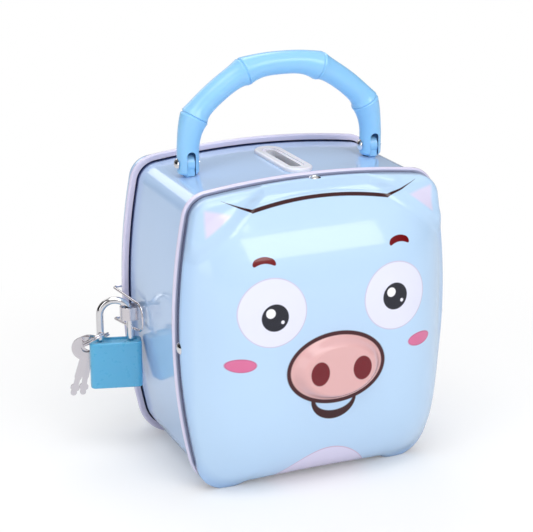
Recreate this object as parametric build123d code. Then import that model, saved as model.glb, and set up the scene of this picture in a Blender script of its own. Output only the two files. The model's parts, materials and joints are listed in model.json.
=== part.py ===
from build123d import *
import math
import os

# Tin money box, millimetres. X runs to the right seen from the face, the face looks toward -Y,
# Z is up. Drawing zero is on the floor under the middle of the tin; the last lines move it.

# Tin outline, seen from the front and measured from its widest level
LEVEL = 67.4
HALF_WIDTH = 57.0
TOP_RISE = 57.6
TOP_RADIUS = 330.0
SIDE_RADIUS = 245.0
ARCH_RISE = 63.9
ARCH_RADIUS = 400.0
TOP_CORNER = 9.0
BOTTOM_CORNER = 15.0

# Sheet metal and the depth of the box
SHEET = 0.5
RIM = 29.2
BEAD_RADIUS = 1.2
NECK_FRONT = -34.1
TUBE_BACK = 32.4
SKIRT_GAP = 0.06
LID_GAP = 0.45
LID_FRONT = 28.4
LID_BACK = 41.0
LID_CORNER = 5.5
LID_PANEL_STEP = 0.9

# Pressed pig face
PLATE_BACK = -RIM - BEAD_RADIUS - 0.3
SKIRT_FRONT = 35.0
FACE_BULGE = 18.5
SNOUT = (21.0, 15.2, 4.6)
SNOUT_LEVEL = -13.2
EAR_RISE = 3.6
FOOT_X = 37.5
FOOT_RADIUS = 14.0

# Carrying handle
PIVOT_X = 40.5
PIVOT_Z = LEVEL + 60.2
FORK_RADIUS = 4.5
FORK_SLOT = 3.6
NODE_RADIUS = 6.1
WAIST_RADIUS = 5.1
PIN_RADIUS = 1.2

# Coin slot
SLOT_MIDDLE = -1.8
SLOT_LENGTH = 30.0
SLOT_WIDTH = 4.4
BEZEL_LENGTH = 41.0
BEZEL_WIDTH = 12.0

# Hinge on the right side of the back rim
HINGE_X = 62.2
HINGE_Y = 29.4
KNUCKLE_RADIUS = 1.6
HINGE_PIN_RADIUS = 0.8
KNUCKLE_LENGTH = 7.6
LEAF = 0.4

# Hasp and padlock on the left side
STAPLE_Y = 14.4
STAPLE_Z = LEVEL - 4.6
STAPLE_HEIGHT = 5.4
STAPLE_REACH = 66.0
BAIL_WIRE = 0.55
LOCK_X = -61.9
LOCK_TURN = -15.0
LEG_SPACING = 12.4
LEG_RADIUS = 1.5
BOW_Z = LEVEL - 5.3
CASE_TOP = LEVEL - 16.5
CASE = (21.6, 8.4, 20.0)
TOE_DEPTH = 3.6
HEEL_DEPTH = 13.0
PLUG_RADIUS = 2.4
CAM_RADIUS = 1.2
RISE = 4.0
RING = (-14.3, 1.6, 0.05)
RING_RADIUS = 5.7
RING_TILT = 32.0
RING_TURN = -42.0
KEY_SHEET = 0.8
KEY_HOLE = 2.5


def outline(grow=0.0):
    """Front view of the tin: three shallow arcs, an arched underside and four soft corners."""
    side = Circle(SIDE_RADIUS + grow)
    shape = Pos(0, TOP_RISE - TOP_RADIUS) * Circle(TOP_RADIUS + grow)
    shape &= Pos(HALF_WIDTH - SIDE_RADIUS, 0) * side
    shape &= Pos(SIDE_RADIUS - HALF_WIDTH, 0) * side
    shape -= Pos(0, -ARCH_RISE - ARCH_RADIUS) * Circle(ARCH_RADIUS - grow)
    shape &= Rectangle(3 * HALF_WIDTH, 3 * HALF_WIDTH)
    bottom = shape.vertices().sort_by(Axis.Y)[:2]
    shape = fillet(bottom, BOTTOM_CORNER + grow)
    top = shape.vertices().group_by(Axis.Y)[-1]
    return fillet(top, max(TOP_CORNER + grow, 3.0))


def slab(shape, back, front):
    """Extrude a front-view sketch from y = back forward to y = front."""
    return Pos(0, back, LEVEL) * Rot(90, 0, 0) * extrude(shape, back - front)


def ring(outer, inner, back, front):
    return slab(outline(outer), back, front) - slab(outline(inner), back + 1, front - 1)


def bead(root, reach, middle, radius):
    """Rounded bead that follows the outline, from the root of the curl out to its reach."""
    band = slab(outline(reach), middle + radius, middle - radius)
    edges = band.faces().sort_by(Axis.Y)[0].edges() + band.faces().sort_by(Axis.Y)[-1].edges()
    band = fillet(edges, radius * 0.9)
    return band - slab(outline(root), middle + 9, middle - 9)


def above_floor(shape, floor=0.0):
    return shape & Pos(0, 0, floor + 200) * Box(400, 400, 400)


def hole_x(x, y, z, radius, length=8.0):
    return Pos(x, y, z) * Rot(0, 90, 0) * Cylinder(radius, length)


def soft_step(value, width):
    """Smooth ramp that is 0 for negative values and follows the value above the given width."""
    return (value + math.sqrt(value * value + width * width)) / 2


def face_front(x, z):
    """Y of the pressed face at x and at height z above the widest level."""
    reach, power = (54.0, 3.4) if z > 0 else (66.7, 6)
    dome = 1 - abs(x / HALF_WIDTH) ** 5 - abs(z / reach) ** power
    dome = soft_step(dome, 0.12) ** 1.2
    snout = 1 - (x / SNOUT[0]) ** 2 - ((z - SNOUT_LEVEL) / SNOUT[1]) ** 2
    snout = min(1.0, soft_step(snout, 0.1) * 2.2)
    ear = 0.62 * (abs(x) - 29.5) + 0.78 * (z - 49)
    ear = math.tanh(soft_step(ear / 7, 0.4))
    return -SKIRT_FRONT - FACE_BULGE * dome - SNOUT[2] * snout - EAR_RISE * ear * (1 - dome)


def pressed_skin(inset):
    """Surface of the pressed face, moved back by the inset."""
    columns = [-62.5 + 2.5 * i for i in range(51)]
    rows = [-75 + 2.5 * i for i in range(57)]
    points = [[Vector(x, face_front(x, z) + inset, LEVEL + z) for z in rows] for x in columns]
    return Face.make_surface_from_array_of_points(points, tol=0.05, min_deg=3, max_deg=3)


def foot(side, inset):
    """Round foot under the face, deepest at the back edge of the plate and tapering forward."""
    radius = FOOT_RADIUS - inset
    level = (Align.CENTER, Align.CENTER, Align.MIN)
    shape = Cylinder(radius, 2.4, align=level)
    shape += Pos(0, 0, 2.4) * Cone(radius, radius - 5.5, 10, align=level)
    return Pos(side * FOOT_X, PLATE_BACK, FOOT_RADIUS - 0.45) * Rot(90, 0, 0) * shape


def face_block(grow, inset):
    """Solid bounded by the outline, the pressed surface and the two feet under it."""
    block = slab(outline(grow), PLATE_BACK, -80)
    block &= extrude(pressed_skin(inset), amount=45, dir=(0, 1, 0))
    return above_floor(block + foot(-1, inset) + foot(1, inset), inset)


def front_plate():
    """Pressed face with a skirt that slips over the neck of the tin."""
    plate = face_block(SKIRT_GAP + SHEET, 0) - face_block(SKIRT_GAP, 0.75)
    for place in rivet_places():
        plate -= place * Cylinder(0.95, 8)
    return plate


def rivet_places():
    """Middle of each face-plate rivet on the tin wall, local Z pointing outward."""
    y = -RIM - BEAD_RADIUS - 2.4
    drop = 4.6
    lean = math.degrees(math.asin(drop / SIDE_RADIUS))
    side_x = HALF_WIDTH - SIDE_RADIUS + math.sqrt(SIDE_RADIUS ** 2 - drop ** 2)
    return [
        Pos(0, y, LEVEL + TOP_RISE),
        Pos(0, y, LEVEL - ARCH_RISE) * Rot(180, 0, 0),
        Pos(side_x, y, LEVEL - drop) * Rot(0, 90 + lean, 0),
        Pos(-side_x, y, LEVEL - drop) * Rot(0, -90 - lean, 0),
    ]


def front_rivets():
    """Four dome-head rivets through the face skirt and the neck of the tin."""
    skin = SHEET + SKIRT_GAP + 0.03
    dome = Pos(0, 0, skin - 2.2) * Sphere(3.3) & Pos(0, 0, skin + 2.6) * Box(9, 9, 5.2)
    shank = Pos(0, 0, (skin - SHEET) / 2) * Cylinder(0.95, skin + SHEET + 0.6)
    tail = Pos(0, 0, -SHEET - 0.46) * Cylinder(1.3, 0.8)
    rivet = dome + shank + tail
    return Compound(children=[place * rivet for place in rivet_places()])


def body_tube():
    """Open tin tube with a rolled bead behind the face and cut-outs for everything fixed to it."""
    tube = ring(0, -SHEET, TUBE_BACK, NECK_FRONT)
    tube += bead(-0.2, 2.1, -RIM, BEAD_RADIUS)
    for place in rivet_places():
        tube -= place * Cylinder(0.95, 8)
    tube -= Pos(0, SLOT_MIDDLE, LEVEL + TOP_RISE) * extrude(slot_outline(-2.0), 8, both=True)
    for side in (-1, 1):
        tube -= Pos(side * PIVOT_X, 0, LEVEL + TOP_RISE - 3) * Box(3.2, 5.0, 8)
    for place in staple_legs():
        tube -= place * Box(8, 1.0, STAPLE_HEIGHT)
    for z in hinge_rivet_levels():
        tube -= hole_x(HALF_WIDTH, 20, z, 0.9)
    return above_floor(tube)


def slot_outline(grow):
    """Stadium outline along Y; grow 0 is the outside of the bezel."""
    return Rot(0, 0, 90) * SlotOverall(BEZEL_LENGTH + 2 * grow, BEZEL_WIDTH + 2 * grow)


def slot_bezel():
    """White plastic surround that lines the coin slot and snaps in from above."""
    top = LEVEL + TOP_RISE
    rim = extrude(slot_outline(0), 1.5)
    rim = fillet(rim.faces().sort_by(Axis.Z)[-1].edges(), 0.9)
    neck = Pos(0, 0, -2.4) * extrude(slot_outline(-2.05), 2.5)
    lip = Pos(0, 0, -2.4) * extrude(slot_outline(-1.6), 0.8, taper=20)
    opening = Pos(0, 0, -5) * extrude(Rot(0, 0, 90) * SlotOverall(SLOT_LENGTH, SLOT_WIDTH), 10)
    recess = Pos(0, 0, 0.9) * extrude(Rot(0, 0, 90) * SlotOverall(SLOT_LENGTH + 2.4, SLOT_WIDTH + 2.4), 2)
    return Pos(0, SLOT_MIDDLE, top) * (rim + neck + lip - opening - recess)


def handle_lugs():
    """Two tongues that stand through the top of the tin and carry the handle pins."""
    lugs = []
    for side in (-1, 1):
        x = side * PIVOT_X
        wall = LEVEL + TOP_RISE - TOP_RADIUS + math.sqrt(TOP_RADIUS ** 2 - PIVOT_X ** 2)
        eye = hole_x(x, 0, PIVOT_Z, 3.9, 3.2)
        web = Pos(x, 0, (PIVOT_Z + wall) / 2 + 0.3) * Box(3.2, 6.8, PIVOT_Z - wall - 0.6)
        stem = Pos(x, 0, wall - 0.6) * Box(3.1, 4.9, 4.4)
        barb = Pos(x, 0, wall - 2.5) * Box(3.1, 7.0, 1.6)
        barb = chamfer(barb.faces().sort_by(Axis.Z)[0].edges(), 0.5)
        lug = eye + web + stem + barb
        lugs.append(lug - hole_x(x, 0, PIVOT_Z, PIN_RADIUS + 0.05))
    return Compound(children=lugs)


def handle_path():
    """Centre line of the handle between the two forks."""
    rise = [(PIVOT_X, -2), (PIVOT_X, 6.5), (37.6, 18.4), (16.5, 34.8)]
    half = [Vector(x, 0, PIVOT_Z + z) for x, z in rise]
    mirrored = [Vector(-p.X, 0, p.Z) for p in reversed(half)]
    return Spline(*half, Vector(0, 0, PIVOT_Z + 37.2), *mirrored, tangents=[(0, 0, 1), (0, 0, -1)])


def handle_bow():
    """Plastic handle shaped like bent cane: waisted lengths between raised joints."""
    path = handle_path()
    stops = [0.0, 0.175, 0.385, 0.615, 0.825, 1.0]
    bow = None
    for index, (start, end) in enumerate(zip(stops, stops[1:])):
        sections = []
        for step in range(5):
            part = step / 4
            radius = WAIST_RADIUS + (NODE_RADIUS - WAIST_RADIUS) * (2 * part - 1) ** 4
            if index in (0, 4):
                near_node = part if index == 0 else 1 - part
                radius = FORK_RADIUS + (NODE_RADIUS - FORK_RADIUS) * near_node ** 3
            sections.append(path.location_at(start + (end - start) * part) * Circle(radius))
        length = loft(sections)
        bow = length if bow is None else bow + length
    for side in (-1, 1):
        bow -= Pos(side * PIVOT_X, 0, PIVOT_Z - 10) * Box(14, 14, 20)
        bow += Pos(side * PIVOT_X, 0, PIVOT_Z) * fork_foot()
    for side in (-1, 1):
        slot = Pos(side * PIVOT_X, 0, PIVOT_Z - 2.4) * Box(FORK_SLOT, 20, 12)
        slot += Pos(side * PIVOT_X, 0, PIVOT_Z + 3.6) * Rot(90, 0, 0) * Cylinder(FORK_SLOT / 2, 20)
        bow -= slot + hole_x(side * PIVOT_X, 0, PIVOT_Z, PIN_RADIUS, 20)
    return bow


def fork_foot():
    """Round end of the handle, rounded underneath about the pivot."""
    post = Pos(0, 0, 1.0) * Cylinder(FORK_RADIUS, 11)
    rounding = hole_x(0, 0, 0, FORK_RADIUS - 0.1, 12) + Pos(0, 0, 4) * Box(12, 12, 8)
    return post & rounding


def handle_pins():
    """Two chrome pins with domed heads, pressed into the forks from the left."""
    pins = []
    length = 2 * FORK_RADIUS + 0.3
    for side in (-1, 1):
        shank = hole_x(0, 0, 0, PIN_RADIUS, length)
        dome = Pos(0, 0, -1.5) * Sphere(2.75) & Pos(0, 0, 2) * Box(6, 6, 4)
        head = Pos(-length / 2, 0, 0) * Rot(0, -90, 0) * dome
        pins.append(Pos(side * PIVOT_X, 0, PIVOT_Z) * (shank + head))
    return Compound(children=pins)


def lid_block(grow, back, corner):
    block = slab(outline(grow), back, LID_FRONT)
    return fillet(block.faces().sort_by(Axis.Y)[-1].edges(), corner)


def back_lid():
    """Pressed lid that closes the back: skirt over the tin, curled edge and raised panel."""
    lid = lid_block(LID_GAP + SHEET, LID_BACK, LID_CORNER)
    panel = slab(outline(-12), LID_BACK + LID_PANEL_STEP, LID_BACK - 3)
    lid += fillet(panel.faces().sort_by(Axis.Y)[-1].edges(), 0.8)
    inside = lid_block(LID_GAP, LID_BACK - SHEET, LID_CORNER - SHEET)
    inside += slab(outline(-12 - SHEET), LID_BACK + LID_PANEL_STEP - SHEET, LID_BACK - 3)
    lid -= inside + slab(outline(LID_GAP), LID_FRONT + 1, LID_FRONT - 1)
    lid += bead(LID_GAP + 0.1, 3.0, RIM + 0.1, 1.05)
    for z in bail_levels():
        lid -= hole_x(-HALF_WIDTH, bail_pivot()[1], z, BAIL_WIRE + 0.1)
    for z in hinge_rivet_levels():
        lid -= hole_x(HALF_WIDTH, 34.2, z, 0.9)
    return above_floor(lid)


def hinge_rivet_levels():
    return [LEVEL - 8.0, LEVEL + 8.0]


def knuckle(z):
    return Pos(HINGE_X, HINGE_Y, z) * Cylinder(KNUCKLE_RADIUS, KNUCKLE_LENGTH - 0.1)


def hinge_leaf(wall_x, wall_end, rivet_y, levels, front):
    """Sheet leaf: a flange on the wall, a web out past the curled rim and rolled knuckles."""
    sign = -1 if front else 1
    web_y = HINGE_Y + sign * (KNUCKLE_RADIUS - LEAF / 2)
    height = 3 * KNUCKLE_LENGTH
    flange_length = abs(wall_end - web_y)
    flange = Pos(wall_x + LEAF / 2, (wall_end + web_y) / 2, LEVEL) * Box(LEAF, flange_length + LEAF, height)
    leaf = flange
    for z in levels:
        web_length = HINGE_X - wall_x
        web = Pos(wall_x + web_length / 2, web_y, z) * Box(web_length, LEAF, KNUCKLE_LENGTH - 0.1)
        leaf += web + knuckle(z)
    leaf -= Pos(HINGE_X, HINGE_Y, LEVEL) * Cylinder(HINGE_PIN_RADIUS + 0.04, height + 4)
    for z in hinge_rivet_levels():
        leaf -= hole_x(wall_x, rivet_y, z, 0.9)
    return leaf


def box_hinge_leaf():
    levels = [LEVEL - KNUCKLE_LENGTH, LEVEL + KNUCKLE_LENGTH]
    return hinge_leaf(HALF_WIDTH + 0.02, 15.5, 20, levels, front=True)


def lid_hinge_leaf():
    return hinge_leaf(HALF_WIDTH + LID_GAP + SHEET + 0.02, 35.4, 34.2, [LEVEL], front=False)


def hinge_pin():
    """Plain wire pin with a flattened head at each end."""
    length = 3 * KNUCKLE_LENGTH + 0.6
    pin = Cylinder(HINGE_PIN_RADIUS, length)
    for side in (-1, 1):
        pin += Pos(0, 0, side * (length / 2 + 0.35)) * Cylinder(1.25, 0.7)
    return Pos(HINGE_X, HINGE_Y, LEVEL) * pin


def hinge_rivets(inner_x, outer_x, y):
    """Two small rivets that clamp a hinge leaf to the tin."""
    rivets = []
    for z in hinge_rivet_levels():
        rivet = Pos((inner_x + outer_x) / 2, y, z) * Rot(0, 90, 0) * Cylinder(0.9, outer_x - inner_x)
        rivet += Pos(outer_x + 0.3, y, z) * Rot(0, 90, 0) * Cylinder(1.35, 0.6)
        rivet += Pos(inner_x - 0.25, y, z) * Rot(0, 90, 0) * Cylinder(1.35, 0.5)
        rivets.append(rivet)
    return Compound(children=rivets)


def box_hinge_rivets():
    return hinge_rivets(HALF_WIDTH - SHEET - 0.2, HALF_WIDTH + LEAF + 0.02, 20)


def lid_hinge_rivets():
    wall = HALF_WIDTH + LID_GAP
    return hinge_rivets(wall - 0.2, wall + SHEET + LEAF + 0.02, 34.2)


def staple_legs():
    spread = 2.6 + 0.4
    return [Pos(-HALF_WIDTH - 2, STAPLE_Y + side * spread, STAPLE_Z) for side in (-1, 1)]


def hasp_staple():
    """Strip bent into a loop; its ends pass through the tin wall and are clenched inside."""
    spread = 3.4
    reach = STAPLE_REACH
    loop = Rectangle(2 * (reach - spread), 2 * spread) + Pos(-(reach - spread), 0) * Circle(spread)
    hollow = Rectangle(2 * (reach - spread), 2 * (spread - 0.8))
    hollow += Pos(-(reach - spread), 0) * Circle(spread - 0.8)
    strip = (loop - hollow) & Pos(-reach, 0) * Rectangle(2 * (reach - 55.8), 20)
    for side in (-1, 1):
        strip += Pos(-HALF_WIDTH + 1.0, side * 4.6) * Rectangle(0.6, 3.2)
    return Pos(0, STAPLE_Y, STAPLE_Z - STAPLE_HEIGHT / 2) * extrude(strip, STAPLE_HEIGHT)


def bail_levels():
    return [LEVEL - 14.8, LEVEL - 0.7]


def bail_pivot():
    return (-59.4, 36.6)


def wire_bail():
    """Wire loop hooked into two holes of the lid and dropped over the staple."""
    low, high = bail_levels()
    front = 7.2
    inside = -55.8
    arm_x, pivot_y = -61.6, bail_pivot()[1]
    corners = [
        (inside, pivot_y, low),
        (arm_x, pivot_y, low),
        (-58.6, front, low + 3.1),
        (-58.6, front, high + 0.3),
        (arm_x, pivot_y, high),
        (inside, pivot_y, high),
    ]
    wire = bent_wire(corners, BAIL_WIRE, [1.5, 5.0, 5.0, 1.5])
    for z in (low, high):
        wire += Pos(inside, pivot_y, z) * Sphere(0.95)
    return wire


def bent_wire(corners, radius, bends):
    """Round wire along straight lengths joined by arcs of the given bend radii."""
    corners = [Vector(*corner) for corner in corners]
    edges = []
    cursor = corners[0]
    for before, corner, after, bend in zip(corners, corners[1:], corners[2:], bends):
        into = (corner - before).normalized()
        away = (after - corner).normalized()
        half_turn = math.radians(into.get_angle(away)) / 2
        trim = bend * math.tan(half_turn)
        begin = corner - into * trim
        finish = corner + away * trim
        inward = (away - into).normalized()
        middle = corner + inward * (bend / math.cos(half_turn) - bend)
        edges += [Line(cursor, begin), ThreePointArc(begin, middle, finish)]
        cursor = finish
    wire = Wire(edges + [Line(cursor, corners[-1])])
    return sweep(Plane(wire @ 0, z_dir=wire % 0) * Circle(radius), path=wire)


def in_lock(shape):
    """Place a padlock piece drawn with its right leg on the local Z axis, left leg toward -X."""
    return Pos(LOCK_X, STAPLE_Y, 0) * Rot(0, 0, LOCK_TURN) * shape


def padlock_shackle():
    """Chrome shackle: long heel leg on the left, notched toe leg through the staple."""
    heel_end = CASE_TOP - HEEL_DEPTH
    toe_end = CASE_TOP - TOE_DEPTH
    bow = Wire([
        Line((-LEG_SPACING, 0, heel_end), (-LEG_SPACING, 0, BOW_Z)),
        ThreePointArc((-LEG_SPACING, 0, BOW_Z), (-LEG_SPACING / 2, 0, BOW_Z + LEG_SPACING / 2), (0, 0, BOW_Z)),
        Line((0, 0, BOW_Z), (0, 0, toe_end)),
    ])
    shackle = sweep(Plane(bow @ 0, z_dir=bow % 0) * Circle(LEG_RADIUS), path=bow)
    wedge = Polyline((-1.6, -2.88), (-0.98, -1.14), (-1.6, -1.14), (-1.6, -2.88))
    notch = extrude(Plane.XZ * make_face(wedge), 5, both=True)
    shackle -= Pos(0, 0, CASE_TOP) * notch
    return in_lock(shackle)


def case_outline(grow=0.0):
    corner = 2.2 + grow
    return Pos(-LEG_SPACING / 2, 0) * RectangleRounded(CASE[0] + 2 * grow, CASE[1] + 2 * grow, corner)


def padlock_jacket():
    """Coloured plastic jacket over the block, open underneath, with a sunk oval round the legs."""
    jacket = Pos(0, 0, CASE_TOP - CASE[2]) * extrude(case_outline(), CASE[2])
    jacket = fillet(jacket.faces().sort_by(Axis.Z)[-1].edges(), 0.9)
    jacket = fillet(jacket.faces().sort_by(Axis.Z)[0].edges(), 0.5)
    jacket -= Pos(0, 0, CASE_TOP - CASE[2] - 1) * extrude(case_outline(-1.0), CASE[2])
    oval = SlotOverall(CASE[0] - 3.6, 4.8)
    jacket -= Pos(-LEG_SPACING / 2, 0, CASE_TOP - 0.5) * extrude(oval, 2)
    return in_lock(jacket - leg_holes())


def leg_holes():
    legs = Pos(0, 0, CASE_TOP - TOE_DEPTH - RISE / 2) * Cylinder(LEG_RADIUS + 0.06, 12)
    return legs + Pos(-LEG_SPACING, 0, CASE_TOP) * Cylinder(LEG_RADIUS + 0.06, 2 * (HEEL_DEPTH + RISE + 0.4))


def padlock_block():
    """Brass lock block inside the jacket, bored for the legs, the plug and the bolt."""
    bottom = CASE_TOP - CASE[2]
    block = Pos(0, 0, bottom + 0.2) * extrude(case_outline(-1.05), CASE[2] - 1.25)
    block -= leg_holes()
    block -= Pos(-LEG_SPACING / 2, 0, bottom) * Cylinder(PLUG_RADIUS + 0.05, 26.4)
    block -= Pos(-LEG_SPACING / 2, 0, CASE_TOP - 5) * Cylinder(CAM_RADIUS + 0.05, 5)
    block -= Pos(-LEG_SPACING / 2 + 1.5, 0, CASE_TOP - 1.9) * Box(8.4, 2.7, 1.7)
    return in_lock(block)


def padlock_plug():
    """Key plug with a keyway from below and a cam stub up to the bolt."""
    bottom = CASE_TOP - CASE[2]
    plug = Pos(0, 0, bottom + 6.6) * Cylinder(PLUG_RADIUS, 12.8)
    plug += Pos(0, 0, CASE_TOP - 5) * Cylinder(CAM_RADIUS, 4.4)
    plug -= Pos(0, 0, bottom + 4.2) * Box(3.6, 0.9, 10.4)
    return in_lock(Pos(-LEG_SPACING / 2, 0, 0) * plug)


def padlock_bolt():
    """Sliding bolt whose sloped nose sits in the notch of the toe leg."""
    nose = Polyline((0, -0.75), (4.55, -0.75), (5.05, 0.7), (0, 0.7), (0, -0.75))
    bolt = extrude(Plane.XZ * make_face(nose), 1.25, both=True)
    return in_lock(Pos(-LEG_SPACING / 2, 0, CASE_TOP - 1.9) * bolt)


def key_ring():
    """Split ring of two turns hung round the heel leg of the padlock."""
    turns = Helix(pitch=0.82, height=1.64, radius=RING_RADIUS)
    wire = sweep(Plane(turns @ 0, z_dir=turns % 0) * Circle(0.38), path=turns)
    middle = Pos(RING[0], RING[1], CASE_TOP + RING[2])
    return in_lock(middle * Rot(0, 0, RING_TURN) * Rot(0, -RING_TILT, 0) * Pos(0, 0, -0.82) * wire)


def key(x, y, drop, lean):
    """Small flat steel key hung by its wide bow behind the padlock, with a stepped blade."""
    edge = [(1.5, -4), (1.5, -14.2), (1.1, -15.2), (1.1, -17.6), (1.9, -18.4), (1.9, -19.6), (1.0, -20.4)]
    edge += [(-across, along) for across, along in reversed(edge)]
    shape = Pos(0, -0.9) * Ellipse(6.2, 5.3) + make_face(Polyline(*edge, close=True))
    shape += Pos(0, -21.2) * Circle(1.3)
    shape -= Circle(KEY_HOLE)
    flat = Pos(0, KEY_SHEET / 2, 0) * Rot(90, 0, 0) * extrude(shape, KEY_SHEET)
    return in_lock(Pos(x, y, CASE_TOP - drop) * Rot(0, lean, 0) * flat)


def key_1():
    return key(-18.0, 4.85, 4.3, 17)


def key_2():
    return key(-16.6, 5.8, 3.9, 10)


PARTS = [
    body_tube, front_plate, front_rivets, slot_bezel, handle_lugs, hasp_staple,
    box_hinge_leaf, box_hinge_rivets, hinge_pin, handle_bow, handle_pins,
    back_lid, lid_hinge_leaf, lid_hinge_rivets, wire_bail,
    padlock_shackle, padlock_jacket, padlock_block, padlock_plug, padlock_bolt,
    key_ring, key_1, key_2,
]

# the drawing above has the tin's middle at zero; this puts zero under the middle of the whole part's box
WHOLE_MIDDLE = Pos(10.81, 8.24, 0)

os.makedirs("parts", exist_ok=True)
for make in PARTS:
    export_step(WHOLE_MIDDLE * make(), f"parts/{make.__name__}.step")
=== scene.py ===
import json
import math

import bpy
from mathutils import Matrix, Vector


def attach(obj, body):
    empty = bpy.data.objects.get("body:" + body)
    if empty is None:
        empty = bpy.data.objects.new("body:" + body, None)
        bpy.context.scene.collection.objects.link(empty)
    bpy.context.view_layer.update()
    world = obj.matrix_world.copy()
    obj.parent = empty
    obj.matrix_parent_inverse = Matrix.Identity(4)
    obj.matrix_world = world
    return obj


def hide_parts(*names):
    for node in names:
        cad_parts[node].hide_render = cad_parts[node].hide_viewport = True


MM = 0.001

# Where the tin's own middle stands in the frame, millimetres.
TIN = Vector((10.81, 8.24, 0.0))

# Outline, depth and handle pivots, millimetres, as in the CAD. A "rise" is measured from the widest level.
LEVEL = 67.4
HALF_WIDTH = 57.0
TOP_RISE = 57.6
TOP_RADIUS = 330.0
SIDE_RADIUS = 245.0
ARCH_RISE = 63.9
ARCH_RADIUS = 400.0
TOP_CORNER = 9.0
BOTTOM_CORNER = 15.0
PLATE_BACK = -30.7
SKIRT_FRONT = 35.0
FACE_BULGE = 18.5
EAR_RISE = 3.6
FOOT_X = 37.5
FOOT_RADIUS = 14.0
PIVOT_X = 40.5
PIVOT_Z = LEVEL + 60.2
FORK_RADIUS = 4.5
FORK_SLOT = 3.6

# Mesh of the face, and where its shape is finer than the CAD's or differs from it.
OUTLINE_SPACING = 0.7
FACE_RINGS = 170
EDGE_STEPS = 8
FACE_SHEET = 0.5
PLATE_GROW = 0.56
EDGE_ROUND = 3.4
EDGE_BACK = -35.3
EDGE_BACK_BELOW = 1.6
FOOT_START = 0.86
FOOT_ON_FACE = 0.25
SNOUT_MIDDLE = (0.5, -13.9)
SNOUT_SIZE = (19.6, 13.6)
SNOUT_RISE = 4.6

# Where the lilac paint of the rims begins and ends, front to back.
BEAD_FRONT = -30.38
BEAD_BACK = -27.9
LID_EDGE = 30.6

# Hair line across the forehead: a shallow arch that turns up into a wing beyond each corner.
HAIR_RISE = 51.8
HAIR_DIP = 2.7
HAIR_CORNER = 29
HAIR_SLOPE = 0.42
HAIR_END = 41.6
HAIR_HALF = 0.68
HAIR_TAPER = 12.8
HAIR_STEP = 0.45

# Printed face. Pupils and brows differ from side to side, the rest is mirrored.
SPOT_SOFTNESS = 0.35
EYE = (26.3, 12.0)
EYE_RADIUS = 13.5
PUPILS = ((-25.5, 10.1), (26.1, 11.9))
PUPIL_RADIUS = 5.5
BROWS = ((-28.6, 31.8), (29.5, 33.4))
CHEEK = (38.75, -8.6)
CHEEK_SIZE = (5.6, 2.5)
SNOUT_PRINT = (19.6, 13.4)
NOSTRIL = (9.1, -13.9)
NOSTRIL_SIZE = (4.0, 5.0)
BELLY_TOP = -50.0

# Cane handle. Places along it run from 0 at the top to 1 at a foot.
CANE_JOINTS = (0.285, 0.68)
CANE_SIDES = 48
CANE_STEPS = 640
WAIST_RADIUS = 4.7
NODE_RADIUS = 6.05
GROOVE_DEPTH = 0.7
GROOVE_WIDTH = 0.005
CANE_FOOT_ROUND = 1.6
CANE_FOOT_STEPS = 8
SLOT_ARCH = 3.6
SLOT_DROP = 8.0
SLOT_REACH = 9

# Camera, in degrees, millimetres of lens, and metres from the middle of the tin's widest level.
CAMERA_TURN = -23.25
CAMERA_TILT = 18.25
CAMERA_LENS = 108.67
CAMERA_PLACE = Vector((-0.25708, -0.58334, 0.22194))


# ---------------------------------------------------------------- outline and meshes

def meet(first, first_radius, second, second_radius, right):
    """Crossing of two circles on the right or the left of the line between their centres."""
    gap = second - first
    distance = gap.length
    along = (first_radius ** 2 - second_radius ** 2 + distance ** 2) / (2 * distance)
    across = math.sqrt(first_radius ** 2 - along ** 2)
    unit = gap / distance
    side = Vector((unit.y, -unit.x)) if right else Vector((-unit.y, unit.x))
    return first + unit * along + side * across


def arc_points(middle, start, end, spacing, hollow=False):
    """Points and outward normals along an arc given by its centre and its two ends."""
    first = math.atan2(start.y - middle.y, start.x - middle.x)
    last = math.atan2(end.y - middle.y, end.x - middle.x)
    radius = (start - middle).length
    count = max(3, math.ceil(abs(last - first) * radius / spacing))
    found = []
    for step in range(count):
        angle = first + (last - first) * step / count
        normal = Vector((math.cos(angle), math.sin(angle)))
        found.append((middle + normal * radius, -normal if hollow else normal))
    return found


def tin_outline():
    """Front view of the tin as points and outward normals, clockwise from the top."""
    top = Vector((0, TOP_RISE - TOP_RADIUS))
    side = Vector((HALF_WIDTH - SIDE_RADIUS, 0))
    arch = Vector((0, -ARCH_RISE - ARCH_RADIUS))
    high = meet(top, TOP_RADIUS - TOP_CORNER, side, SIDE_RADIUS - TOP_CORNER, False)
    if high.x < 0:
        high = meet(top, TOP_RADIUS - TOP_CORNER, side, SIDE_RADIUS - TOP_CORNER, True)
    low = meet(side, SIDE_RADIUS - BOTTOM_CORNER, arch, ARCH_RADIUS + BOTTOM_CORNER, False)
    if low.x < 0:
        low = meet(side, SIDE_RADIUS - BOTTOM_CORNER, arch, ARCH_RADIUS + BOTTOM_CORNER, True)
    ends = [
        Vector((0, TOP_RISE)),
        high + (high - top).normalized() * TOP_CORNER,
        high + (high - side).normalized() * TOP_CORNER,
        low + (low - side).normalized() * BOTTOM_CORNER,
        low + (arch - low).normalized() * BOTTOM_CORNER,
        Vector((0, -ARCH_RISE)),
    ]
    half = arc_points(top, ends[0], ends[1], OUTLINE_SPACING)
    half += arc_points(high, ends[1], ends[2], OUTLINE_SPACING * 0.7)
    half += arc_points(side, ends[2], ends[3], OUTLINE_SPACING)
    half += arc_points(low, ends[3], ends[4], OUTLINE_SPACING * 0.8)
    half += arc_points(arch, ends[4], ends[5], OUTLINE_SPACING, hollow=True)
    half.append((ends[5], Vector((0, -1))))
    mirrored = [(Vector((-p.x, p.y)), Vector((-n.x, n.y))) for p, n in reversed(half[1:-1])]
    return half + mirrored


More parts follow.
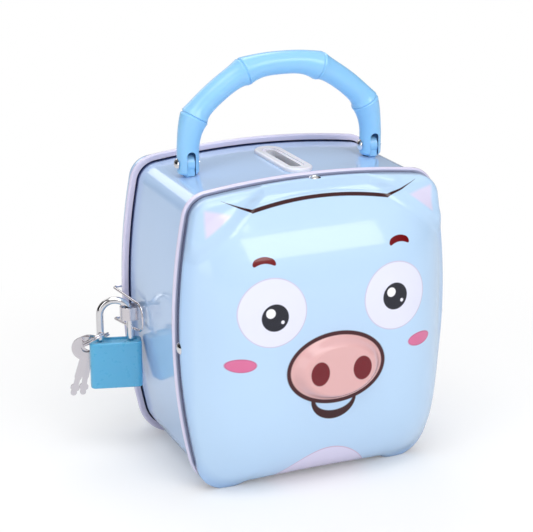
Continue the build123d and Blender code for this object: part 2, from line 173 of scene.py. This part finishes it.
def mesh_piece(name, verts, faces, body, material):
    """Smooth-shaded piece that rides on a body, from points in millimetres."""
    mesh = bpy.data.meshes.new(name)
    mesh.from_pydata([(TIN + Vector(v)) * MM for v in verts], [], faces)
    mesh.update()
    mesh.polygons.foreach_set("use_smooth", [True] * len(mesh.polygons))
    piece = bpy.data.objects.new(name, mesh)
    bpy.context.collection.objects.link(piece)
    mesh.materials.append(material)
    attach(piece, body)
    return piece


def ring_faces(rings, count):
    """Quads between successive closed rings of the same number of points."""
    faces = []
    for ring in range(rings - 1):
        for i in range(count):
            j = (i + 1) % count
            near, far = ring * count, (ring + 1) * count
            faces.append((near + i, near + j, far + j, far + i))
    return faces


# ---------------------------------------------------------------- pressed face

def soft(value, width):
    """The value where it is positive and 0 where it is negative, with a smooth turn between."""
    return (value + math.sqrt(value * value + width * width)) / 2


def ease(value):
    """0 up to 0, 1 from 1 on, with a smooth turn at both ends."""
    value = min(1.0, max(0.0, value))
    return value * value * (3 - 2 * value)


def hair_rise(x):
    """Height of the hair line above the widest level at x."""
    across = abs(x)
    if across < HAIR_CORNER:
        return HAIR_RISE - HAIR_DIP * (across / HAIR_CORNER) ** 2
    return HAIR_RISE - HAIR_DIP + (across - HAIR_CORNER) * HAIR_SLOPE


def face_y(x, z):
    """Depth of the pressed face at x and height z above the widest level."""
    reach, power = (54.0, 3.4) if z > 0 else (66.7, 6)
    dome = 1 - abs(x / HALF_WIDTH) ** 5 - abs(z / reach) ** power
    dome = soft(dome, 0.12) ** 1.2
    snout = 1 - ((x - SNOUT_MIDDLE[0]) / SNOUT_SIZE[0]) ** 2 - ((z - SNOUT_MIDDLE[1]) / SNOUT_SIZE[1]) ** 2
    snout = ease(soft(snout, 0.05) * 2.0)
    ear = 0.62 * (abs(x) - 29.5) + 0.78 * (z - 49)
    ear = ease(ear / 7 + 0.15)
    shelf = ease((z - hair_rise(x)) / 1.2 - 0.6) * ease((36 - abs(x)) / 8) * HAIR_STEP
    rise = FACE_BULGE * dome + SNOUT_RISE * snout + (EAR_RISE * ear + shelf) * (1 - dome)
    return -SKIRT_FRONT - rise


def foot_bump(point):
    """How far the outline moves out at a foot, so the two rounds blend."""
    middle = Vector((math.copysign(FOOT_X, point.x), FOOT_RADIUS - 0.45 - LEVEL))
    arm = point - middle
    if arm.y > 2:
        return Vector((0, 0))
    fade = ease((2 - arm.y) / 6)
    push = soft(FOOT_RADIUS - arm.length - PLATE_GROW, 0.5) * fade
    return arm.normalized() * push


def rounded_edge(outline):
    """Rings that turn from the face into the skirt, leaving the face at its own slope."""
    verts = []
    for step in range(1, EDGE_STEPS + 1):
        t = step / EDGE_STEPS
        for point, normal in outline:
            rim = point + normal * (PLATE_GROW - EDGE_ROUND)
            front = face_y(rim.x, rim.y)
            inner = rim - normal * 0.5
            drop = EDGE_BACK + EDGE_BACK_BELOW * ease(-normal.y) - front
            slope = min((front - face_y(inner.x, inner.y)) / 0.5, drop / EDGE_ROUND)
            depth = front + 2 * t * (1 - t) * slope * EDGE_ROUND + t * t * drop
            bump = foot_bump(point) * (FOOT_ON_FACE + (1 - FOOT_ON_FACE) * t * t)
            place = rim + normal * EDGE_ROUND * (2 * t - t * t) + bump
            verts.append((place.x, depth, place.y + LEVEL))
    return verts


def face_plate(material):
    """Pressed front with snout, ears and feet, a rounded edge and a skirt over the tin."""
    outline = tin_outline()
    count = len(outline)
    verts = []
    for ring in range(1, FACE_RINGS + 1):
        share = ring / FACE_RINGS
        for point, normal in outline:
            flat = (point + normal * (PLATE_GROW - EDGE_ROUND)) * share
            bump = foot_bump(point) * ease((share - FOOT_START) / (1 - FOOT_START)) * FOOT_ON_FACE
            verts.append((flat.x + bump.x, face_y(flat.x, flat.y), flat.y + bump.y + LEVEL))
    verts += rounded_edge(outline)
    for point, normal in outline:
        place = point + normal * PLATE_GROW + foot_bump(point)
        verts.append((place.x, PLATE_BACK, place.y + LEVEL))
    verts = [(x, y, max(z, 0.02)) for x, y, z in verts]
    faces = ring_faces(FACE_RINGS + EDGE_STEPS + 1, count)
    faces.append(tuple(reversed(range(count))))
    piece = mesh_piece("face_plate", verts, faces, "box", material)
    shell = piece.modifiers.new("sheet", "SOLIDIFY")
    shell.thickness = FACE_SHEET * MM
    shell.offset = -1
    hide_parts("front_plate")


# ---------------------------------------------------------------- cane handle

def handle_centre(along):
    """Centre line of the handle and its tangent; along runs from -1 at the left foot to 1."""
    # Places and directions, across and up in millimetres, at the stops between which a cubic runs.
    keys = [(0.0, 97.6), (16.5, 95.1), (37.4, 78.8), (40.5, 64.0), (40.5, 59.0)]
    slopes = [(14.0, 0.0), (19.0, -7.5), (8.0, -15.0), (0.0, -10.0), (0.0, -5.0)]
    stops = [0.0, *CANE_JOINTS, 0.93, 1.0]
    place = min(abs(along), 0.99999)
    part = max(i for i, stop in enumerate(stops) if stop <= place)
    t = (place - stops[part]) / (stops[part + 1] - stops[part])
    blend = (2 * t ** 3 - 3 * t ** 2 + 1, t ** 3 - 2 * t ** 2 + t, 3 * t ** 2 - 2 * t ** 3, t ** 3 - t ** 2)
    lead = (6 * t ** 2 - 6 * t, 3 * t ** 2 - 4 * t + 1, 6 * t - 6 * t ** 2, 3 * t ** 2 - 2 * t)
    point, tangent = [], []
    for axis in (0, 1):
        terms = (keys[part][axis], slopes[part][axis], keys[part + 1][axis], slopes[part + 1][axis])
        point.append(sum(b * v for b, v in zip(blend, terms)))
        tangent.append(sum(b * v for b, v in zip(lead, terms)))
    side = math.copysign(1, along)
    return Vector((side * point[0], 0, point[1] + LEVEL)), Vector((tangent[0], 0, side * tangent[1]))


def cane_radius(along):
    """Waisted between the joints, with a fine groove turned round each joint."""
    place = abs(along)
    upper, lower = CANE_JOINTS
    if place > lower:
        share = min(1.0, (place - lower) / 0.2)
        radius = FORK_RADIUS + (NODE_RADIUS - FORK_RADIUS) * (1 - share) ** 2
    else:
        low, high = (-upper, upper) if place < upper else CANE_JOINTS
        part = (place - low) / (high - low)
        radius = WAIST_RADIUS + (NODE_RADIUS - WAIST_RADIUS) * abs(2 * part - 1) ** 4
    groove = min(abs(place - joint) for joint in CANE_JOINTS)
    return radius - GROOVE_DEPTH * math.exp(-(groove / GROOVE_WIDTH) ** 2)


def cane_stations():
    """Centre, direction and radius at steps along the handle."""
    stations = []
    for step in range(CANE_STEPS + 1):
        along = -1 + 2 * step / CANE_STEPS
        centre, tangent = handle_centre(along)
        stations.append((centre, tangent.normalized(), cane_radius(along)))
    return stations


def foot_stations(x, tangent):
    """Stations that round off the end of one foot, from its flat underside up."""
    under = PIVOT_Z - FORK_RADIUS + 0.1
    stations = []
    for step in range(CANE_FOOT_STEPS + 1):
        angle = math.radians(10 + 80 * step / CANE_FOOT_STEPS)
        height = under + CANE_FOOT_ROUND * (1 - math.cos(angle))
        radius = FORK_RADIUS - CANE_FOOT_ROUND * (1 - math.sin(angle))
        stations.append((Vector((x, 0, height)), tangent, radius))
    return stations


def slot_cutter(side):
    """Arched slab that cuts one fork slot."""
    half = FORK_SLOT / 2
    profile = [(-half, -SLOT_DROP), (-half, SLOT_ARCH)]
    for degrees in range(15, 180, 15):
        angle = math.radians(degrees)
        profile.append((-half * math.cos(angle), SLOT_ARCH + half * math.sin(angle)))
    profile += [(half, SLOT_ARCH), (half, -SLOT_DROP)]
    verts = []
    for y in (-SLOT_REACH, SLOT_REACH):
        verts += [(TIN + Vector((side * PIVOT_X + x, y, PIVOT_Z + z))) * MM for x, z in profile]
    count = len(profile)
    faces = ring_faces(2, count)
    faces += [tuple(reversed(range(count))), tuple(range(count, 2 * count))]
    mesh = bpy.data.meshes.new("cutter")
    mesh.from_pydata(verts, [], faces)
    mesh.update()
    cutter = bpy.data.objects.new("cutter", mesh)
    bpy.context.collection.objects.link(cutter)
    return cutter


def cut_slot(piece, side):
    cutter = slot_cutter(side)
    cut = piece.modifiers.new("slot", "BOOLEAN")
    cut.operation = "DIFFERENCE"
    cut.solver = "EXACT"
    cut.object = cutter
    bpy.context.view_layer.objects.active = piece
    bpy.ops.object.modifier_apply(modifier=cut.name)
    bpy.data.objects.remove(cutter)


def cane_handle(material):
    """Handle swept along its centre line, with rounded feet and a slot in each for the lug."""
    down = Vector((0, 0, -1))
    stations = foot_stations(-PIVOT_X, -down)
    stations += cane_stations()
    stations += reversed(foot_stations(PIVOT_X, down))
    across = Vector((0, 1, 0))
    verts = []
    for centre, tangent, radius in stations:
        out = tangent.cross(across).normalized()
        for i in range(CANE_SIDES):
            angle = 2 * math.pi * i / CANE_SIDES
            verts.append(centre + (out * math.cos(angle) + across * math.sin(angle)) * radius)
    faces = ring_faces(len(stations), CANE_SIDES)
    faces.append(tuple(range(CANE_SIDES)))
    faces.append(tuple(reversed(range(len(verts) - CANE_SIDES, len(verts)))))
    piece = mesh_piece("cane_handle", verts, faces, "handle", material)
    for side in (-1, 1):
        cut_slot(piece, side)
    piece.data.polygons.foreach_set("use_smooth", [True] * len(piece.data.polygons))
    piece.data.set_sharp_from_angle(angle=math.radians(38))
    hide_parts("handle_bow")


# ---------------------------------------------------------------- shader arithmetic

class Term:
    """A number inside a node tree; arithmetic on it adds math nodes."""

    def __init__(self, tree, source):
        self.tree = tree
        self.source = source

    def join(self, kind, *others, clamp=False):
        node = self.tree.nodes.new("ShaderNodeMath")
        node.operation = kind
        node.use_clamp = clamp
        for socket, value in zip(node.inputs, (self, *others)):
            if isinstance(value, Term):
                self.tree.links.new(value.source, socket)
            else:
                socket.default_value = value
        return Term(self.tree, node.outputs[0])

    def __add__(self, other):
        return self.join("ADD", other)

    def __sub__(self, other):
        return self.join("SUBTRACT", other)

    def __mul__(self, other):
        return self.join("MULTIPLY", other)

    def __abs__(self):
        return self.join("ABSOLUTE")

    def __pow__(self, other):
        return self.join("POWER", other)

    def least(self, other):
        return self.join("MINIMUM", other)

    def most(self, other):
        return self.join("MAXIMUM", other)

    def above(self, level, width=0.3):
        """Mask that turns from 0 to 1 as the value passes the level."""
        return ((self - level) * (1 / width)).join("ADD", 0.5, clamp=True)

    def below(self, level, width=0.3):
        """Mask that turns from 1 to 0 as the value passes the level."""
        return ((self - level) * (-1 / width)).join("ADD", 0.5, clamp=True)


def new_material(name):
    material = bpy.data.materials.new(name)
    material.use_nodes = True
    tree = material.node_tree
    return material, tree, tree.nodes["Principled BSDF"]


def places(tree):
    """Object coordinates in millimetres, with height measured from the widest level."""
    coord = tree.nodes.new("ShaderNodeTexCoord")
    split = tree.nodes.new("ShaderNodeSeparateXYZ")
    tree.links.new(coord.outputs["Object"], split.inputs[0])
    x, y, z = (Term(tree, output) * (1 / MM) for output in split.outputs)
    return x - TIN.x, y - TIN.y, z - LEVEL


def mixed(tree, mask, under, over):
    """Colour under, changed to colour over where the mask is 1."""
    node = tree.nodes.new("ShaderNodeMix")
    node.data_type = "RGBA"
    tree.links.new(mask.source, node.inputs[0])
    for socket, colour in ((node.inputs[6], under), (node.inputs[7], over)):
        if isinstance(colour, tuple):
            socket.default_value = (*colour, 1)
        else:
            tree.links.new(colour, socket)
    return node.outputs[2]


def noise(tree, scale, detail, stretch=(1, 1, 1)):
    coord = tree.nodes.new("ShaderNodeTexCoord")
    mapping = tree.nodes.new("ShaderNodeMapping")
    mapping.inputs["Scale"].default_value = stretch
    node = tree.nodes.new("ShaderNodeTexNoise")
    node.inputs["Scale"].default_value = scale
    node.inputs["Detail"].default_value = detail
    tree.links.new(coord.outputs["Object"], mapping.inputs[0])
    tree.links.new(mapping.outputs[0], node.inputs["Vector"])
    return Term(tree, node.outputs["Fac"])


def bumped(tree, shader, height, strength, distance):
    node = tree.nodes.new("ShaderNodeBump")
    node.inputs["Strength"].default_value = strength
    node.inputs["Distance"].default_value = distance
    tree.links.new(height.source, node.inputs["Height"])
    tree.links.new(node.outputs[0], shader.inputs["Normal"])


def feed(tree, term, socket):
    tree.links.new(term.source, socket)


def srgb(red, green, blue):
    """Linear colour from display values of 0 to 255."""
    def linear(value):
        value /= 255
        return value / 12.92 if value <= 0.04045 else ((value + 0.055) / 1.055) ** 2.4
    return linear(red), linear(green), linear(blue)


# ---------------------------------------------------------------- materials

BLUE = srgb(190, 219, 248)
SIDE_BLUE = srgb(180, 210, 247)
# Painted shade: darker blue laid on the side wall towards the back rim.
PAINTED_SHADE_BLUE = srgb(110, 140, 190)
# Painted shade round the sides and the bottom of the face.
EDGE_SHADE_BLUE = srgb(128, 168, 222)
LILAC = srgb(222, 217, 242)
BELLY_RIM = srgb(205, 178, 205)
# Painted shadow for the gaps beside the rims, on the wall and at the face's skirt.
SEAM_SHADOW_NAVY = srgb(34, 50, 104)
BROWN = srgb(56, 14, 18)
BARE_TIN = srgb(176, 180, 186)
EYE_WHITE = srgb(230, 232, 252)
EYE_RIM = srgb(206, 200, 226)
PUPIL = srgb(24, 26, 40)
BROW_RED = srgb(112, 6, 14)
CHEEK_PINK = srgb(218, 112, 156)
CHEEK_RIM = srgb(190, 84, 128)
SNOUT_PINK = srgb(226, 178, 178)
SNOUT_RIM = srgb(66, 18, 26)
NOSTRIL_RED = srgb(112, 14, 28)


def gloss_coat(shader, weight):
    """Clear lacquer over the colour."""
    shader.inputs["Coat Weight"].default_value = weight
    shader.inputs["Coat Roughness"].default_value = 0.04
    shader.inputs["Specular IOR Level"].default_value = weight / 2


def inner_mask(tree, depth_share):
    """1 on surfaces that look into the tin, which are left unpainted.

    A normal that points towards the middle gives a negative product with the place. The depth counts
    by depth_share: 0 for the open wall, 1 for pieces that close an end.
    """
    x, y, z = places(tree)
    coord = tree.nodes.new("ShaderNodeTexCoord")
    split = tree.nodes.new("ShaderNodeSeparateXYZ")
    tree.links.new(coord.outputs["Normal"], split.inputs[0])
    nx, ny, nz = (Term(tree, output) for output in split.outputs)
    return (nx * x + nz * z + ny * y * depth_share).below(-9, 2)


def blotched(tree, colour, dark, amount=0.5):
    """Slow drift of colour over a painted surface."""
    drift = noise(tree, 26, 3).above(0.5, 0.5) * amount
    return mixed(tree, drift, colour, tuple(v * dark for v in colour))


def finish_lacquer(tree, shader, colour, inside):
    """Join the paint colour, the bare inside and a faint orange peel to the shader."""
    colour = mixed(tree, inside, colour, BARE_TIN)
    tree.links.new(colour, shader.inputs["Base Color"])
    feed(tree, inside * 0.9, shader.inputs["Metallic"])
    grain = noise(tree, 900, 3) * 0.06
    feed(tree, inside * 0.18 + grain + 0.13, shader.inputs["Roughness"])
    bumped(tree, shader, noise(tree, 420, 2), 0.05, 0.0002)


def tube_paint():
    """Side wall: pale blue lacquer, lilac bead, painted navy shadow in the gaps beside both rims and painted
    shade towards the back rim.
    """
    material, tree, shader = new_material("lacquer_tube")
    y = places(tree)[1]
    gloss_coat(shader, 0.9)
    colour = blotched(tree, SIDE_BLUE, 0.95)
    # Painted shade: the wall darkens towards the back rim.
    colour = mixed(tree, y.above(23, 12) * 0.28, colour, PAINTED_SHADE_BLUE)
    # Painted shadow: navy on the neck under the lid's rim.
    colour = mixed(tree, y.above(26.3, 1.6) * 0.95, colour, SEAM_SHADOW_NAVY)
    # Painted shadow: navy in the gap in front of the bead.
    colour = mixed(tree, y.below(BEAD_FRONT, 0.15), colour, SEAM_SHADOW_NAVY)
    bead = y.below(BEAD_BACK, 0.2) * y.above(BEAD_FRONT, 0.15)
    colour = mixed(tree, bead, colour, LILAC)
    finish_lacquer(tree, shader, colour, inner_mask(tree, 0.0))
    return material


def lid_paint():
    """Back lid: pale blue lacquer, lilac curled edge, bare inside."""
    material, tree, shader = new_material("lacquer_lid")
    y = places(tree)[1]
    gloss_coat(shader, 0.9)
    colour = blotched(tree, SIDE_BLUE, 0.95)
    inside = inner_mask(tree, 1.0) * y.above(LID_EDGE, 0.2)
    colour = mixed(tree, y.below(LID_EDGE, 0.2), colour, LILAC)
    finish_lacquer(tree, shader, colour, inside)
    return material


def disc(x, z, middle, size):
    """Distance from the middle of an ellipse as a share of its radius there: below 1 inside."""
    across = (x - middle[0]) * (1 / size[0])
    up = (z - middle[1]) * (1 / size[1])
    return (across * across + up * up) ** 0.5


def spot(x, z, middle, size):
    """Mask of an ellipse with a slightly soft edge."""
    return disc(x, z, middle, size).below(1.0, SPOT_SOFTNESS / min(size))


def brow(x, z, middle):
    """Short arched bean with round ends."""
    across = x - middle[0]
    arch = z - (middle[1] + 0.7) + across * across * 0.07
    end = (abs(across) - 3.4).most(0.0)
    return ((arch * arch + end * end) ** 0.5).below(1.25, 0.3)


def hair_line(x, z):
    """Dark line across the forehead that kinks and thins out to a tip on each side."""
    across = abs(x)
    arch = across * across * (-HAIR_DIP / HAIR_CORNER ** 2) + HAIR_RISE
    wing = (across - HAIR_CORNER) * HAIR_SLOPE + (HAIR_RISE - HAIR_DIP)
    outside = across.above(HAIR_CORNER, 0.2)
    line = arch * (outside * -1 + 1) + wing * outside
    half = ((across - HAIR_CORNER) * (-HAIR_HALF / HAIR_TAPER) + HAIR_HALF).least(HAIR_HALF)
    return (abs(z - line) - half).below(0, 0.3) * across.below(HAIR_END, 0.4)


def ear_patch(x, z):
    """Lilac triangle inside the corner of each ear."""
    across = abs(x)
    upper = (z * -1 + across * 0.243 + 39.7).above(0, 1.4)
    outer = (across * -1 + 48.7).above(0, 1.4)
    lower = (z + across * 0.762 - 78.1).above(0, 1.2)
    return upper * outer * lower


def rimmed(tree, colour, x, z, middle, size, rim, rim_colour, fill):
    """An ellipse of one colour with a thin rim of another round it."""
    outer = (size[0] + rim, size[1] + rim)
    colour = mixed(tree, spot(x, z, middle, outer), colour, rim_colour)
    return mixed(tree, spot(x, z, middle, size), colour, fill)


def print_patches(tree, colour, x, z):
    """Belly, ear patches and hair line."""
    belly = z + x * x * 0.034 - BELLY_TOP
    colour = mixed(tree, belly.below(0.5, 0.3), colour, BELLY_RIM)
    colour = mixed(tree, belly.below(0.0, 0.3), colour, LILAC)
    colour = mixed(tree, ear_patch(x, z), colour, LILAC)
    return mixed(tree, hair_line(x, z), colour, BROWN)


def print_eyes(tree, colour, x, z):
    """Cheeks and eyes, then the pupils with two glints each, and the brows."""
    for side in (-1, 1):
        cheek = (side * CHEEK[0], CHEEK[1])
        eye = (side * EYE[0], EYE[1])
        eye_size = (EYE_RADIUS, EYE_RADIUS)
        colour = rimmed(tree, colour, x, z, cheek, CHEEK_SIZE, 0.3, CHEEK_RIM, CHEEK_PINK)
        colour = rimmed(tree, colour, x, z, eye, eye_size, 0.4, EYE_RIM, EYE_WHITE)
    for middle, brow_middle in zip(PUPILS, BROWS):
        glint = (middle[0] - 1.8, middle[1] + 1.9)
        speck = (middle[0] + 3.0, middle[1] - 2.0)
        colour = mixed(tree, spot(x, z, middle, (PUPIL_RADIUS, PUPIL_RADIUS)), colour, PUPIL)
        colour = mixed(tree, spot(x, z, glint, (1.9, 1.9)), colour, (0.95, 0.95, 1.0))
        colour = mixed(tree, spot(x, z, speck, (0.7, 0.7)), colour, (0.9, 0.9, 1.0))
        colour = mixed(tree, brow(x, z, brow_middle), colour, BROW_RED)
    return colour


def print_snout(tree, colour, x, z):
    """Mouth and tongue, then the snout over them with its nostrils."""
    mouth = spot(x, z, (-0.5, -26.9), (9.8, 8.9)) * z.below(-25.2, 0.4)
    tongue = spot(x, z, (-0.3, -27.0), (8.1, 5.1)) * z.below(-25.8, 0.4)
    colour = mixed(tree, mouth, colour, BROWN)
    colour = mixed(tree, tongue, colour, BLUE)
    colour = rimmed(tree, colour, x, z, SNOUT_MIDDLE, SNOUT_PRINT, 1.7, SNOUT_RIM, SNOUT_PINK)
    for side in (-1, 1):
        nostril = (side * NOSTRIL[0] + 0.6, NOSTRIL[1])
        colour = mixed(tree, spot(x, z, nostril, NOSTRIL_SIZE), colour, NOSTRIL_RED)
    return colour


def painted_edge_shade(tree, colour, x, y, z):
    """Painted shade: deeper blue round the sides and the bottom, and painted navy shadow where the skirt
    meets the bead.
    """
    outer = abs(x).above(50, 8).most(z.below(-50, 10) * abs(x).above(30, 12))
    # Painted shade: deeper blue over the sides and the bottom of the face.
    colour = mixed(tree, y.above(-37, 5) * outer * 0.4, colour, EDGE_SHADE_BLUE)
    # Painted shadow: navy where the skirt meets the bead.
    seam_shadow = (y.above(-33.2, 1.2) * outer).most(y.above(-31.9, 1.0)) * 0.95
    return mixed(tree, seam_shadow, colour, SEAM_SHADOW_NAVY)


def face_paint():
    """Printed pig face on pale blue lacquer, with painted shade round its edge."""
    material, tree, shader = new_material("lacquer_face")
    x, y, z = places(tree)
    gloss_coat(shader, 0.52)
    colour = blotched(tree, BLUE, 0.96)
    colour = print_patches(tree, colour, x, z)
    colour = print_eyes(tree, colour, x, z)
    colour = print_snout(tree, colour, x, z)
    colour = painted_edge_shade(tree, colour, x, y, z)
    finish_lacquer(tree, shader, colour, inner_mask(tree, 1.0))
    return material


def plastic(name, colour, rough, coat):
    """Moulded plastic with a faint skin texture and slight wear in the gloss."""
    material, tree, shader = new_material(name)
    tree.links.new(blotched(tree, colour, 0.95, 0.3), shader.inputs["Base Color"])
    feed(tree, noise(tree, 500, 4) * 0.05 + (rough - 0.025), shader.inputs["Roughness"])
    shader.inputs["Coat Weight"].default_value = coat
    shader.inputs["Coat Roughness"].default_value = 0.08
    shader.inputs["Subsurface Weight"].default_value = 0.06
    shader.inputs["Subsurface Scale"].default_value = 0.001
    bumped(tree, shader, noise(tree, 700, 2), 0.02, 0.00005)
    return material


def metal(name, colour, rough, stretch=(1, 1, 1), grain=0.12):
    """Plated metal with fine drawn scratches and cloudy roughness."""
    material, tree, shader = new_material(name)
    shader.inputs["Metallic"].default_value = 1.0
    tree.links.new(blotched(tree, colour, 0.8, 0.6), shader.inputs["Base Color"])
    scratch = noise(tree, 900, 4, stretch)
    feed(tree, scratch * grain + (rough - grain / 2), shader.inputs["Roughness"])
    bumped(tree, shader, scratch, 0.06, 0.0001)
    return material


# ---------------------------------------------------------------- stage

def paper():
    """White paper that brightens to the backdrop's white away from the part and is darker in reflections."""
    material, tree, shader = new_material("paper")
    shader.inputs["Roughness"].default_value = 0.9
    x, y = places(tree)[:2]
    away = (x * x + y * y) ** 0.5
    glow = tree.nodes.new("ShaderNodeEmission")
    glow.inputs["Strength"].default_value = 1.0
    blend = tree.nodes.new("ShaderNodeMixShader")
    path = tree.nodes.new("ShaderNodeLightPath")
    seen = Term(tree, path.outputs["Is Camera Ray"])
    mirrored = Term(tree, path.outputs["Is Glossy Ray"])
    tone = mixed(tree, mirrored, (0.95, 0.95, 0.955), (0.72, 0.72, 0.73))
    tree.links.new(tone, shader.inputs["Base Color"])
    feed(tree, (away.above(150, 200) * 0.8 + 0.2) * seen, blend.inputs[0])
    tree.links.new(shader.outputs[0], blend.inputs[1])
    tree.links.new(glow.outputs[0], blend.inputs[2])
    tree.links.new(blend.outputs[0], tree.nodes["Material Output"].inputs["Surface"])
    return material


def floor():
    bpy.ops.mesh.primitive_plane_add(size=8, location=(0, 0, 0))
    piece = bpy.context.object
    piece.name = "floor"
    piece.data.materials.append(paper())


def area_light(name, place, target, size, power):
    """White rectangular lamp, in metres and watts, turned to its target."""
    data = bpy.data.lights.new(name, "AREA")
    data.shape = "RECTANGLE"
    data.size, data.size_y = size
    data.energy = power
    lamp = bpy.data.objects.new(name, data)
    bpy.context.collection.objects.link(lamp)
    lamp.location = place
    lamp.rotation_euler = (Vector(target) - Vector(place)).to_track_quat("-Z", "Y").to_euler()


def surroundings():
    """White to the camera; as light dimmer, brighter above, and with dark flags in reflections."""
    world = bpy.data.worlds.new("surroundings")
    bpy.context.scene.world = world
    world.use_nodes = True
    tree = world.node_tree
    background = tree.nodes["Background"]
    coord = tree.nodes.new("ShaderNodeTexCoord")
    split = tree.nodes.new("ShaderNodeSeparateXYZ")
    tree.links.new(coord.outputs["Generated"], split.inputs[0])
    across = Term(tree, split.outputs[0])
    sideways = abs(across).above(0.62, 0.3).most(across.below(-0.4, 0.05) * 0.7)
    height = Term(tree, split.outputs[2])
    path = tree.nodes.new("ShaderNodeLightPath")
    seen = Term(tree, path.outputs["Is Camera Ray"])
    mirrored = Term(tree, path.outputs["Is Glossy Ray"])
    glow = height.above(0.35, 1.1) * 0.4 + 0.24
    glow = glow * (mirrored * sideways * -0.93 + 1)
    feed(tree, glow * (seen * -1 + 1) + seen * 1.05, background.inputs["Strength"])
    background.inputs["Color"].default_value = (1, 1, 1, 1)


def camera():
    """Long lens, a little above and to the left of the face."""
    turn, tilt = math.radians(CAMERA_TURN), math.radians(CAMERA_TILT)
    data = bpy.data.cameras.new("camera")
    data.lens = CAMERA_LENS
    data.sensor_width = 36
    data.clip_end = 20
    eye = bpy.data.objects.new("camera", data)
    bpy.context.collection.objects.link(eye)
    back = Vector((math.sin(turn) * math.cos(tilt), -math.cos(turn) * math.cos(tilt), math.sin(tilt)))
    right = Vector((math.cos(turn), math.sin(turn), 0))
    up = back.cross(right)
    eye.matrix_world = Matrix((right, up, back)).transposed().to_4x4()
    eye.location = (TIN + Vector((0, 0, LEVEL))) * MM + CAMERA_PLACE
    bpy.context.scene.camera = eye


# ---------------------------------------------------------------- scene

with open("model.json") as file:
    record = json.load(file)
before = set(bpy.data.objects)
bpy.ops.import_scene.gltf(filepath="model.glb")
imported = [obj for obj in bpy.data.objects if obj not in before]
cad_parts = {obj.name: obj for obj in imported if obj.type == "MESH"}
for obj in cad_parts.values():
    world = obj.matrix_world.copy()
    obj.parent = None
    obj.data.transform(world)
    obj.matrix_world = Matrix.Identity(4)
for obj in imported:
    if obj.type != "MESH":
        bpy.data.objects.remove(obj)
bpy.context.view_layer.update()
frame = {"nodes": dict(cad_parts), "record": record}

# One finish for each node or material slot; blue tin without its own is painted like the wall.
finishes = {
    "body_tube": tube_paint(),
    "back_lid": lid_paint(),
    "blue_plastic": plastic("handle_plastic", srgb(146, 206, 252), 0.3, 0.35),
    "white_plastic": plastic("bezel_plastic", srgb(236, 236, 244), 0.25, 0.4),
    "lock_plastic": plastic("jacket_plastic", srgb(84, 174, 216), 0.28, 0.5),
    "chrome": metal("polished_chrome", (0.86, 0.85, 0.86), 0.09, grain=0.06),
    "plated_steel": metal("nickel_plate", (0.8, 0.76, 0.79), 0.2, (1, 1, 0.08), 0.3),
    "brass": metal("machined_brass", (0.78, 0.58, 0.26), 0.3, (4, 4, 1), 0.2),
}
for entry in frame["record"]["subparts"]:
    node = frame["nodes"][entry["node"]]
    by_slot = finishes.get(entry["material_slot"], finishes["body_tube"])
    node.data.materials.clear()
    node.data.materials.append(finishes.get(entry["node"], by_slot))

face_plate(face_paint())
cane_handle(finishes["blue_plastic"])

floor()
surroundings()
area_light("overhead", (-0.15, -0.35, 0.95), (0, -0.02, 0.08), (0.7, 0.5), 3.0)
area_light("left_box", (-0.9, -0.45, 0.45), (0, 0, 0.08), (0.35, 0.8), 1.6)
area_light("back_strip", (-0.2, 0.88, 0.52), (0, 0, 0.1), (0.38, 0.24), 0.42)
area_light("key", (0.26, -0.95, 0.74), (0, 0, 0.1), (0.76, 0.45), 3.9)
area_light("back_soft", (0.15, 0.6, 0.95), (0, 0, 0.08), (0.5, 0.4), 1.8)
bpy.context.scene.view_settings.view_transform = "Standard"
camera()
